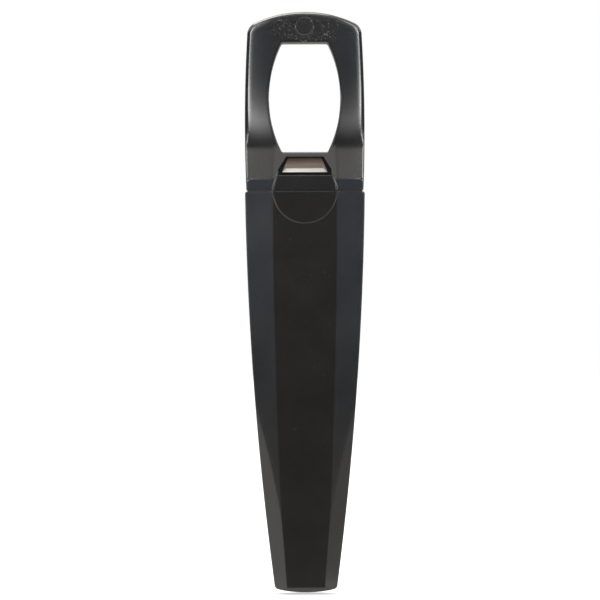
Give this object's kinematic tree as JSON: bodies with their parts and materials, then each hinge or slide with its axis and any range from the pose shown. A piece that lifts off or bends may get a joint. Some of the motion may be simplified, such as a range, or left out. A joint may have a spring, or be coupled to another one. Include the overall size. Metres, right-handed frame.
{
  "type": "pocket corkscrew",
  "caption": "Pocket corkscrew: flat ring handle with a steel cap-lifter insert and a wire worm, closed by a long tapered, faceted plastic sheath that pulls off.",
  "frame": {"origin": "centre of the base of the bounding box, at the tip of the sheath", "axes": "+X across the width to the right, -Y out of the front face that has the window, +Z along the length from the sheath's tip to the handle's crown"},
  "size_m": [0.029, 0.0174, 0.14],
  "materials": {
    "sheath_plastic": "semi-gloss black moulded plastic",
    "handle_plastic": "semi-gloss black moulded plastic",
    "lifter_steel": "brushed, with a bright lower bend",
    "worm_steel": "nickel-plated wire"
  },
  "bodies": {
    "sheath": {"sheath": "sheath_plastic"},
    "handle": {"handle_head": "handle_plastic", "cap_lifter_plate": "lifter_steel", "worm": "worm_steel"}
  },
  "joints": [
    {"name": "sheath_pull_off", "type": "slide", "parent": "sheath", "child": "handle", "axis": [0, 0, 1], "range_m": [0, 0.072]}
  ]
}
